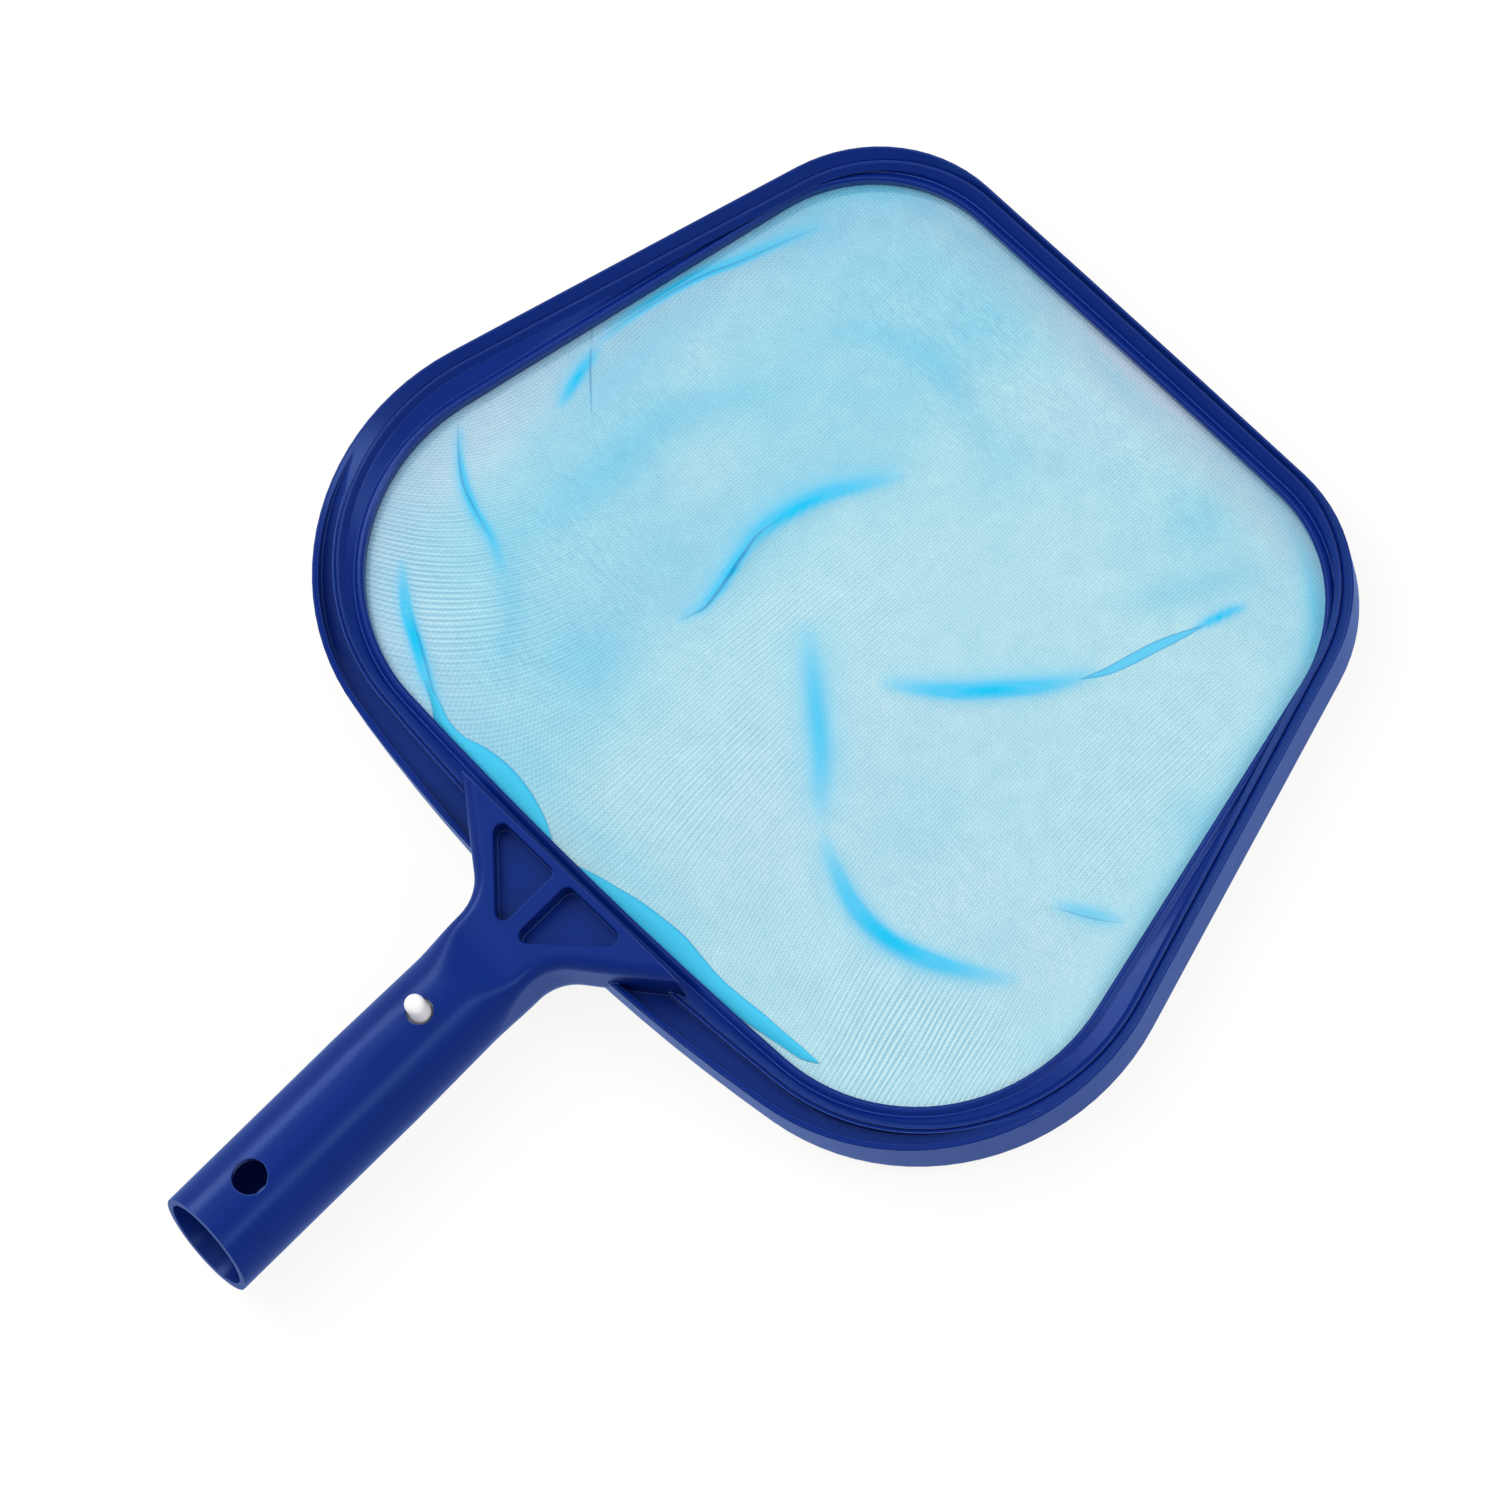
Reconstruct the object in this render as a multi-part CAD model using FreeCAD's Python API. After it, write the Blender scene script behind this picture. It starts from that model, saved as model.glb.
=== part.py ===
import FreeCAD, Part
import math
import os

V = FreeCAD.Vector

# Frame: origin at the centre of the shank's mouth, +X along the shank toward the net, +Z up.
# The hoop's lip lies in the plane Z = 0, level with the shank's axis.

# Hoop outlines in plan: a bowed trapezoid, widest beside the neck. The near and far sides are flat arcs,
# the two other sides are straight, and the corners are arcs tangent to both neighbours. The step between
# land and snap ring, and the ring's inner edge, follow from the outer outline by the differences below.
HEAD_X = 118.35
OUTER = dict(near_x=HEAD_X, near_bow=22.96, near_half=150.7, near_corner=65.75,
             far_x=337.15, far_bow=0.41, far_half=90.2, far_corner=43.3)
OUTER_TO_STEP = dict(near_x=9.85, near_bow=-9.16, near_half=-3.3, near_corner=-5.75,
                     far_x=-1.35, far_bow=-0.01, far_half=-3.3, far_corner=-0.3)
STEP_TO_INNER = dict(near_x=7.2, near_bow=-7.7, near_half=-14.1, near_corner=-7.9,
                     far_x=-6.0, far_bow=0.1, far_half=1.5, far_corner=-1.0)
STEP = {key: OUTER[key] + OUTER_TO_STEP[key] for key in OUTER}
INNER = {key: STEP[key] + STEP_TO_INNER[key] for key in OUTER}

# Hoop section
LIP_Z = 0.0
HOOP_BOTTOM_Z = -17.0
EDGE_ROUND = 0.5
OUTER_WALL = 2.6
LIP_FLAT = 0.55
LAND_DROP = 2.7
TROUGH_LIP = 1.6
TROUGH_INNER_WALL = 0.9
TROUGH_Z = -6.5
TROUGH_FLAT_LENGTH = 13.65
TROUGH_LENGTH = 59.65
NET_THICKNESS = 0.4
NET_TOP_Z = -8.0
SEAT_THICKNESS = 2.6
SEAT_RIB = 1.8
SEAT_RIB_DEPTH = 2.4

# Snap ring
RING_CLEARANCE = 0.15
RING_TOP_Z = -2.2
RING_RIM_FLAT = 0.5
RING_RIM_WIDTH = 2.1
RING_RIM_DROP = 1.8
RING_FLOOR_Z = -5.4
RING_FLOOR_OFFSET = 2.6
CREST_Z = -4.5
CREST_OUT = 1.5
CREST_IN = 0.8
CREST_CHAMFER = 0.6
CREST_EASE = 0.2
NET_TUCK = 1.2

# Shank
SHANK_OD = 29.6
SHANK_WALL = 2.0
SHANK_STRAIGHT = 60.0
SHANK_TAPER = 0.5
BORE_PAST_TAPER = 3.0
BORE_END_ROUND = 3.0
MOUTH_SLANT_DEG = 12.0
POLE_HOLE_X = 19.6
POLE_HOLE_D = 9.5
CLIP_HOLE_X = 79.5
CLIP_HOLE_D = 7.2

# Neck: a plate that starts as the shank's rounded box and flares toward the hoop
NECK_BOX_HALF = 13.2
NECK_BLEND = 15.5
NECK_LEAD = 0.5
NECK_ROUND = 4.0
NECK_BELLY_ROUND = 12.0
BLEND_STEPS = 8
BLEND_FLAT_DEG = 3.0
WEB_TOP_Z = 11.2
WEB_PAST_EDGE = 12.65
WEB_FLARE = 20.4
WEB_BACK_HALF = 41.0
WEB_TURN_R = 13.0
WEB_TRIM = 2.5
WEB_SIDE_CLEARANCE = 0.4
WEB_BACK_X = HEAD_X + WEB_PAST_EDGE
WEB_TURN_X = WEB_BACK_X - WEB_FLARE
WEB_LEAN = math.atan2(WEB_BACK_HALF - NECK_BOX_HALF, WEB_FLARE)
NECK_BOX_X = WEB_TURN_X - WEB_TURN_R * math.tan(WEB_LEAN / 2) - NECK_LEAD
SHANK_TAPER_END = NECK_BOX_X - NECK_BLEND
POCKET_REAR_WALL = 2.0
POCKET_LENGTH = 21.3
POCKET_BACK_X = WEB_BACK_X - POCKET_REAR_WALL
POCKET_FRONT_X = POCKET_BACK_X - POCKET_LENGTH
POCKET_SPAN = 26.0
POCKET_FLOOR_Z = 5.4
POCKET_ROUND = 2.2
POCKET_RIM = 0.5
RIB_WIDTH = 4.5
CORE_REAR_WALL = 6.0
CORE_LENGTH = 12.0
CORE_BACK_X = WEB_BACK_X - CORE_REAR_WALL
CORE_FRONT_X = CORE_BACK_X - CORE_LENGTH
CORE_FRONT_HALF = 6.0
CORE_BACK_HALF = 18.0
CORE_TOP_Z = 2.4
CORE_SKIN = 0.6

# Clip
STRIP_WIDTH = 8.0
STRIP_THICKNESS = 1.6
CLIP_END_GAP = 1.0
CLIP_BEND_X = 36.0
CLIP_BEND_R = 4.0
CLIP_TAIL = 6.0
BUTTON_D = 5.4
BUTTON_BASE_D = 6.4
BUTTON_TIP_OUT = 0.2
BUTTON_OUT = 8.2

CUT_OVER = 5.0


def plan_points(shape, inset):
    """Half of a hoop outline, y > 0: arc centres, and tangent points moved inward by inset."""
    near_r = (shape["near_half"] ** 2 + shape["near_bow"] ** 2) / (2 * shape["near_bow"])
    far_r = (shape["far_half"] ** 2 + shape["far_bow"] ** 2) / (2 * shape["far_bow"])
    near_c = V(shape["near_x"] + near_r, 0, 0)
    far_c = V(shape["far_x"] - far_r, 0, 0)
    near_p = V(shape["near_x"] + shape["near_bow"], shape["near_half"], 0)
    far_p = V(shape["far_x"] - shape["far_bow"], shape["far_half"], 0)
    along = (far_p - near_p).normalize()
    inward = V(along.y, -along.x, 0)
    points = {}
    for end, centre, radius, corner, way in (("near", near_c, near_r, shape["near_corner"], -1),
                                             ("far", far_c, far_r, shape["far_corner"], 1)):
        start = near_p + inward * corner
        rel = start - centre
        half_b = rel.dot(along)
        root = math.sqrt(half_b ** 2 - (rel.dot(rel) - (radius - corner) ** 2))
        middle = start + along * (-half_b + way * root)
        outward = (middle - centre).normalize()
        on_side = middle - inward * (corner - inset)
        on_end = middle + outward * (corner - inset)
        half_way = (outward - inward).normalize()
        points[end] = (on_end, middle + half_way * (corner - inset), on_side)
    points["near_apex"] = V(shape["near_x"] + inset, 0, 0)
    points["far_apex"] = V(shape["far_x"] - inset, 0, 0)
    return points


def at(point, z, side=1):
    """The plan point at height z, mirrored across the symmetry plane if side is -1."""
    return V(point.x, point.y * side, z)


def outline(shape, z, inset=0.0):
    """Closed wire of a hoop outline: eight edges, always in the same order."""
    p = plan_points(shape, inset)
    near, far = p["near"], p["far"]
    edges = [
        Part.Arc(at(near[0], z, -1), at(p["near_apex"], z), at(near[0], z)).toShape(),
        Part.Arc(at(near[0], z), at(near[1], z), at(near[2], z)).toShape(),
        Part.LineSegment(at(near[2], z), at(far[2], z)).toShape(),
        Part.Arc(at(far[2], z), at(far[1], z), at(far[0], z)).toShape(),
        Part.Arc(at(far[0], z), at(p["far_apex"], z), at(far[0], z, -1)).toShape(),
        Part.Arc(at(far[0], z, -1), at(far[1], z, -1), at(far[2], z, -1)).toShape(),
        Part.LineSegment(at(far[2], z, -1), at(near[2], z, -1)).toShape(),
        Part.Arc(at(near[2], z, -1), at(near[1], z, -1), at(near[0], z, -1)).toShape(),
    ]
    return Part.Wire(edges)


def slab(shape, z0, z1, inset=0.0):
    """Flat solid between two heights inside a hoop outline."""
    return Part.Face(outline(shape, z0, inset)).extrude(V(0, 0, z1 - z0))


def bowl(*levels):
    """Solid through hoop outlines, each given as (shape, z, inset), with ruled walls."""
    return Part.makeLoft([outline(shape, z, inset) for shape, z, inset in levels], True, True)


def polygon_prism(points, z0, z1):
    """Prism on a polygon of plan points."""
    corners = [V(x, y, z0) for x, y in points]
    return Part.Face(Part.makePolygon(corners + corners[:1])).extrude(V(0, 0, z1 - z0))


def horizontal_edges(solid, z):
    """Edges of a solid that lie in the plane of height z."""
    found = []
    for edge in solid.Edges:
        box = edge.BoundBox
        if abs(box.ZMin - z) < 1e-4 and abs(box.ZMax - z) < 1e-4:
            found.append(edge)
    return found


def trough():
    """Crescent channel between lip and ring on the neck side, whose floor rises and ends at the corners."""
    bottom = TROUGH_Z - CUT_OVER
    top = LIP_Z + CUT_OVER
    crescent = slab(OUTER, bottom, top, TROUGH_LIP)
    crescent = crescent.cut(slab(STEP, bottom - CUT_OVER, top + CUT_OVER, -TROUGH_INNER_WALL))
    wide = OUTER["near_half"]
    flat_x = HEAD_X + TROUGH_FLAT_LENGTH
    end_x = HEAD_X + TROUGH_LENGTH
    section = [(0, TROUGH_Z), (flat_x, TROUGH_Z), (end_x, LIP_Z), (end_x, top), (0, top)]
    corners = [V(x, -wide, z) for x, z in section]
    kept = Part.Face(Part.makePolygon(corners + corners[:1])).extrude(V(0, 2 * wide, 0))
    return crescent.common(kept)


def hoop():
    """Outer wall with a lip, a land sloping in to the ring, and a seat flange with a rib."""
    body = slab(OUTER, HOOP_BOTTOM_Z, LIP_Z)
    rims = horizontal_edges(body, LIP_Z) + horizontal_edges(body, HOOP_BOTTOM_Z)
    body = body.makeFillet(EDGE_ROUND, rims)
    body = body.cut(bowl((OUTER, LIP_Z + LAND_DROP, LIP_FLAT), (OUTER, LIP_Z, LIP_FLAT),
                         (STEP, LIP_Z - LAND_DROP, 0)))
    body = body.cut(trough())
    seat_z = NET_TOP_Z - NET_THICKNESS
    body = body.cut(slab(STEP, seat_z, LIP_Z + CUT_OVER))
    hollow_top = seat_z - SEAT_THICKNESS
    hollow = slab(OUTER, HOOP_BOTTOM_Z - CUT_OVER, hollow_top, OUTER_WALL)
    rib = slab(INNER, hollow_top - SEAT_RIB_DEPTH, hollow_top, -SEAT_RIB)
    body = body.cut(hollow.cut(rib))
    return body.cut(slab(INNER, HOOP_BOTTOM_Z - CUT_OVER, LIP_Z + CUT_OVER))


def section_circle(x, radius, flat_deg):
    """Circle across the shank at x, divided into a short arc per side and four corner arcs."""
    edges = []
    for side in (0, 90, 180, 270):
        for start, end in ((side - flat_deg, side + flat_deg), (side + flat_deg, side + 90 - flat_deg)):
            pts = [V(x, radius * math.cos(math.radians(t)), radius * math.sin(math.radians(t)))
                   for t in (start, (start + end) / 2, end)]
            edges.append(Part.Arc(*pts).toShape())
    return Part.Wire(edges)


def section_box(x, half, z0, z1, low_r, high_r):
    """Rounded rectangle across the neck at x, starting on the +Y side and going up."""
    low = low_r * (1 - math.sqrt(0.5))
    high = high_r * (1 - math.sqrt(0.5))
    pts = [(half, z0 + low_r), (half, z1 - high_r), (half - high_r, z1), (-half + high_r, z1),
           (-half, z1 - high_r), (-half, z0 + low_r), (-half + low_r, z0), (half - low_r, z0)]
    mids = {1: (half - high, z1 - high), 3: (-half + high, z1 - high),
            5: (-half + low, z0 + low), 7: (half - low, z0 + low)}
    edges = []
    for i in range(8):
        a = V(x, *pts[i])
        b = V(x, *pts[(i + 1) % 8])
        if i in mids:
            edges.append(Part.Arc(a, V(x, *mids[i]), b).toShape())
        else:
            edges.append(Part.LineSegment(a, b).toShape())
    return Part.Wire(edges)


def shank():
    """Outer body of the shank: straight, slightly tapered, then easing from round into the neck's box."""
    r = SHANK_OD / 2
    end_r = r - SHANK_TAPER
    straight = Part.makeCylinder(r, SHANK_STRAIGHT + CUT_OVER, V(-CUT_OVER, 0, 0), V(1, 0, 0))
    taper = Part.makeCone(r, end_r, SHANK_TAPER_END - SHANK_STRAIGHT, V(SHANK_STRAIGHT, 0, 0), V(1, 0, 0))
    sections = [section_circle(SHANK_TAPER_END, end_r, BLEND_FLAT_DEG)]
    for i in range(1, BLEND_STEPS + 1):
        t = i / BLEND_STEPS
        eased = t * t * (3 - 2 * t)
        half, z0, z1, low_r, high_r = [
            end_r * start * (1 - eased) + end * eased for start, end in
            ((1, NECK_BOX_HALF), (-1, HOOP_BOTTOM_Z), (1, WEB_TOP_Z),
             (1, NECK_BELLY_ROUND), (1, NECK_ROUND))]
        x = SHANK_TAPER_END + t * (NECK_BOX_X - SHANK_TAPER_END)
        sections.append(section_box(x, half, z0, z1, low_r, high_r))
    blend = Part.makeLoft(sections, True, True)
    return straight.fuse([taper, blend])


def pockets():
    """The two triangular pockets, one on each side of the middle rib."""
    y0 = RIB_WIDTH / 2
    solids = []
    for side in (1, -1):
        corners = [(POCKET_FRONT_X, y0 * side), (POCKET_BACK_X, y0 * side),
                   (POCKET_BACK_X, POCKET_SPAN * side)]
        prism = polygon_prism(corners, POCKET_FLOOR_Z, WEB_TOP_Z + CUT_OVER)
        upright = [e for e in prism.Edges if e.BoundBox.ZLength > CUT_OVER]
        solids.append(prism.makeFillet(POCKET_ROUND, upright))
    return solids


def web_prism(z0, z1):
    """Prism on the outline of the neck's plate, whose sides turn from the shank toward the hoop."""
    end = (WEB_BACK_X + WEB_TRIM, -WEB_BACK_HALF - WEB_TRIM * math.tan(WEB_LEAN))
    right = [(NECK_BOX_X, -NECK_BOX_HALF), (WEB_TURN_X, -NECK_BOX_HALF), end]
    prism = polygon_prism(right + [(x, -y) for x, y in reversed(right)], z0, z1)
    upright = [e for e in prism.Edges
               if e.BoundBox.ZLength > 1 and abs(e.BoundBox.XMin - WEB_TURN_X) < 1e-4]
    return prism.makeFillet(WEB_TURN_R, upright)


def web():
    """Raised neck plate with its pockets, rounded along its sides."""
    plate = web_prism(HOOP_BOTTOM_Z, WEB_TOP_Z)
    lower = [e for e in horizontal_edges(plate, HOOP_BOTTOM_Z) if e.BoundBox.XLength > 1e-4]
    plate = plate.makeFillet(NECK_BELLY_ROUND, lower)
    upper = [e for e in horizontal_edges(plate, WEB_TOP_Z) if e.BoundBox.XLength > 1e-4]
    plate = plate.makeFillet(NECK_ROUND, upper)
    plate = plate.cut(pockets())
    rims = [e for e in horizontal_edges(plate, WEB_TOP_Z)
            if e.BoundBox.XMin > POCKET_FRONT_X - 1 and e.BoundBox.XMax < POCKET_BACK_X + 0.1
            and abs(e.BoundBox.Center.y) < POCKET_SPAN]
    plate = plate.makeFillet(POCKET_RIM, rims)
    wide = 2 * (WEB_BACK_HALF + CUT_OVER)
    z0 = HOOP_BOTTOM_Z - CUT_OVER
    past = Part.makeBox(2 * CUT_OVER, wide, WEB_TOP_Z + CUT_OVER - z0, V(WEB_BACK_X, -wide / 2, z0))
    inner_x = OUTER["near_x"] + OUTER_WALL
    seat_bottom = NET_TOP_Z - NET_THICKNESS - SEAT_THICKNESS
    length = WEB_BACK_X - inner_x + CUT_OVER
    channel = Part.makeBox(length, wide, seat_bottom - z0, V(inner_x, -wide / 2, z0))
    return plate.cut([past, channel])


def cores():
    """Two hollows under the plate, one on each side of the hoop's outer wall."""
    lean = (CORE_BACK_HALF - CORE_FRONT_HALF) / CORE_LENGTH
    wall_back = HEAD_X + OUTER_WALL
    cells = []
    for x0, x1 in ((CORE_FRONT_X, HEAD_X - CORE_SKIN), (wall_back + CORE_SKIN, CORE_BACK_X)):
        y0 = CORE_FRONT_HALF + (x0 - CORE_FRONT_X) * lean
        y1 = CORE_FRONT_HALF + (x1 - CORE_FRONT_X) * lean
        corners = [(x0, -y0), (x1, -y1), (x1, y1), (x0, y0)]
        cells.append(polygon_prism(corners, HOOP_BOTTOM_Z - CUT_OVER, CORE_TOP_Z))
    return cells


def web_clearance():
    """Room round the back of the neck's plate, left free by the net and the snap ring."""
    back_x = WEB_BACK_X + RING_CLEARANCE
    back_half = WEB_BACK_HALF + WEB_SIDE_CLEARANCE
    front_half = NECK_BOX_HALF + WEB_SIDE_CLEARANCE
    corners = [(WEB_TURN_X, -front_half), (back_x, -back_half),
               (back_x, back_half), (WEB_TURN_X, front_half)]
    return polygon_prism(corners, HOOP_BOTTOM_Z, WEB_TOP_Z)


def frame_moulding():
    """The blue moulding: shank, neck and hoop in one piece."""
    body = hoop().fuse([shank(), web()]).cut(cores())
    r = SHANK_OD / 2
    depth = SHANK_TAPER_END + BORE_PAST_TAPER
    bore = Part.makeCylinder(r - SHANK_WALL, depth + CUT_OVER, V(-CUT_OVER, 0, 0), V(1, 0, 0))
    bore = bore.makeFillet(BORE_END_ROUND, [e for e in bore.Edges if e.BoundBox.XMin > depth - 1e-4])
    body = body.cut(bore)
    for x, d in ((POLE_HOLE_X, POLE_HOLE_D), (CLIP_HOLE_X, CLIP_HOLE_D)):
        body = body.cut(Part.makeCylinder(d / 2, 2 * SHANK_OD, V(x, 0, -SHANK_OD), V(0, 0, 1)))
    lean = math.tan(math.radians(MOUTH_SLANT_DEG)) * SHANK_OD
    past = [V(lean, -SHANK_OD, SHANK_OD), V(-lean, -SHANK_OD, -SHANK_OD),
            V(-SHANK_OD, -SHANK_OD, -SHANK_OD), V(-SHANK_OD, -SHANK_OD, SHANK_OD)]
    body = body.cut(Part.Face(Part.makePolygon(past + past[:1])).extrude(V(0, 2 * SHANK_OD, 0)))
    return body.removeSplitter()


def swept_section(levels):
    """Ring whose section runs through the (shape, z, inset) outlines in turn and back to the first."""
    wires = [outline(shape, z, inset) for shape, z, inset in levels]
    faces = []
    for i, (_, z, _) in enumerate(levels):
        j = (i + 1) % len(levels)
        if abs(z - levels[j][1]) < 1e-6:
            wide, narrow = sorted((wires[i], wires[j]), key=lambda w: -w.BoundBox.XLength)
            faces += Part.Face(wide).cut(Part.Face(narrow)).Faces
        else:
            faces += Part.makeLoft([wires[i], wires[j]], False, True).Faces
    skin = Part.makeCompound(faces)
    skin.sewShape()
    body = Part.Solid(skin.Shells[0])
    if body.Volume < 0:
        body.reverse()
    return body


def snap_ring():
    """Ring that clamps the net: sloping rim, shallow hollow, low crest beside the net."""
    gap = RING_CLEARANCE
    body = swept_section([
        (STEP, NET_TOP_Z, gap),
        (STEP, RING_TOP_Z, gap),
        (STEP, RING_TOP_Z, gap + RING_RIM_FLAT),
        (STEP, RING_TOP_Z - RING_RIM_DROP, gap + RING_RIM_WIDTH),
        (INNER, RING_FLOOR_Z, -RING_FLOOR_OFFSET),
        (INNER, CREST_Z - CREST_EASE, -CREST_OUT),
        (INNER, CREST_Z, -CREST_IN),
        (INNER, CREST_Z - CREST_CHAMFER, 0),
        (INNER, NET_TOP_Z, 0),
    ])
    return body.cut(web_clearance())


def net_mesh():
    """The stretched net, reaching under the snap ring all round."""
    return slab(STEP, NET_TOP_Z - NET_THICKNESS, NET_TOP_Z, NET_TUCK).cut(web_clearance())


def clip_pad_z():
    """Height of the clip leg's outer face below the button, with room to the bore at the strip's edges."""
    bore_r = SHANK_OD / 2 - SHANK_WALL
    return math.sqrt(bore_r ** 2 - (STRIP_WIDTH / 2) ** 2) - CLIP_END_GAP


def clip_spring():
    """V-shaped strip: a round bend near the mouth and two legs that end in flat pads under the buttons."""
    t = STRIP_THICKNESS
    top = clip_pad_z()
    outer_r = CLIP_BEND_R + t / 2
    inner_r = CLIP_BEND_R - t / 2
    pad_x = CLIP_HOLE_X - CLIP_TAIL
    end_x = CLIP_HOLE_X + CLIP_TAIL
    y0 = -STRIP_WIDTH / 2
    edges = [Part.Arc(V(CLIP_BEND_X, y0, outer_r), V(CLIP_BEND_X - outer_r, y0, 0),
                      V(CLIP_BEND_X, y0, -outer_r)).toShape()]
    edges.append(Part.Arc(V(CLIP_BEND_X, y0, inner_r), V(CLIP_BEND_X - inner_r, y0, 0),
                          V(CLIP_BEND_X, y0, -inner_r)).toShape())
    for side in (1, -1):
        path = [V(x, y0, z * side) for x, z in ((CLIP_BEND_X, outer_r), (pad_x, top), (end_x, top),
                                                (end_x, top - t), (pad_x, top - t), (CLIP_BEND_X, inner_r))]
        for a, b in zip(path, path[1:]):
            edges.append(Part.LineSegment(a, b).toShape())
    profile = Part.Wire(Part.__sortEdges__(edges))
    return Part.Face(profile).extrude(V(0, STRIP_WIDTH, 0))


def button(side):
    """Round-topped button: a tapered root in the shank's hole, then a straight tip for the pole's hole."""
    r = BUTTON_D / 2
    base = clip_pad_z()
    dome_z = SHANK_OD / 2 + BUTTON_OUT - r
    tip_z = SHANK_OD / 2 + BUTTON_TIP_OUT
    root = Part.makeCone(BUTTON_BASE_D / 2, r, tip_z - base, V(CLIP_HOLE_X, 0, base), V(0, 0, 1))
    tip = Part.makeCylinder(r, dome_z - tip_z, V(CLIP_HOLE_X, 0, tip_z), V(0, 0, 1))
    dome = Part.makeSphere(r, V(CLIP_HOLE_X, 0, dome_z), V(0, 0, 1), 0, 90, 360)
    body = root.fuse([tip, dome]).removeSplitter()
    if side < 0:
        body = body.mirror(V(0, 0, 0), V(0, 0, 1))
    return body


def main():
    os.makedirs("parts", exist_ok=True)
    nodes = {
        "frame_moulding": frame_moulding(),
        "snap_ring": snap_ring(),
        "net_mesh": net_mesh(),
        "clip_spring": clip_spring(),
        "upper_button": button(1),
        "lower_button": button(-1),
    }
    for name, shape in nodes.items():
        if not shape.isValid() or len(shape.Solids) != 1:
            raise RuntimeError(name + " is not one valid solid")
        shape.Solids[0].exportStep("parts/" + name + ".step")


if __name__ == "__main__":
    main()
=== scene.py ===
import math

import bpy
import numpy as np
from mathutils import Matrix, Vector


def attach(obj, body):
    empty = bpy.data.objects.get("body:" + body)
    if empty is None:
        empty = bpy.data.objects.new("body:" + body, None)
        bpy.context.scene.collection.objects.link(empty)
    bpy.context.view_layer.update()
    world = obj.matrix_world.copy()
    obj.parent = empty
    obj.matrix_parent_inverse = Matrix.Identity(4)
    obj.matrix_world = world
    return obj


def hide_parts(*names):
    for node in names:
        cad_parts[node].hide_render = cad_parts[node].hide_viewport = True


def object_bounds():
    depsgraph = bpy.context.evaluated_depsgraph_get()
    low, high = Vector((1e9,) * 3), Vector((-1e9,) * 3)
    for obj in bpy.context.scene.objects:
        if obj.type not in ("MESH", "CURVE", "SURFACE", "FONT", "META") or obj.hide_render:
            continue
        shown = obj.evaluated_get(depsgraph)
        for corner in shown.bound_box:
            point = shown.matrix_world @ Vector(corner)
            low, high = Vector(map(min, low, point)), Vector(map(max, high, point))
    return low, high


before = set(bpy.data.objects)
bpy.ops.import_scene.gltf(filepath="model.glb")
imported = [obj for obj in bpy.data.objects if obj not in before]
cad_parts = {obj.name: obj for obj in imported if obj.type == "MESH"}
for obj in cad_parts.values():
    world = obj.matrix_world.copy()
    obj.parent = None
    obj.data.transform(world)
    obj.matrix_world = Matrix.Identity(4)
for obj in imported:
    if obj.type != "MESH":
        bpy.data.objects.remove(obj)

bl_info = {
    "name": "Pool Leaf Skimmer Net",
    "version": (1, 0, 0),
    "blender": (4, 5, 0),
    "location": "View3D > Sidebar > Skimmer",
    "description": "Dresses the skimmer's moulded frame and lays the net into its hoop",
    "category": "Object",
}

CAD_BOX = [list(corner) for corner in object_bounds()]
MM = 0.001

# The edge where the net leaves the snap ring, in mm: a trapezoid with bowed ends and arc corners.
RING_INSIDE = dict(near_x=135.4, near_bow=6.1, near_half=133.3, near_corner=52.1,
                   far_x=329.8, far_bow=0.5, far_half=88.4, far_corner=42.0)

# Heights of the net, in mm: its edge, how far its cut edge rises off it inside the ring, and the gap that
# stays between them; then how far the net wanders up and down, and how far it lifts at its broad rises.
NET_Z = -8.1
STRIP_LIFT = 0.3
STRIP_GAP = 0.04
WANDER_LIFT = 0.45
RISE_LIFT = 1.1

# How far inside the ring the sag and the folds reach their full height, in mm.
SAG_REACH = 14.0
FOLD_REACH = 4.0

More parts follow.
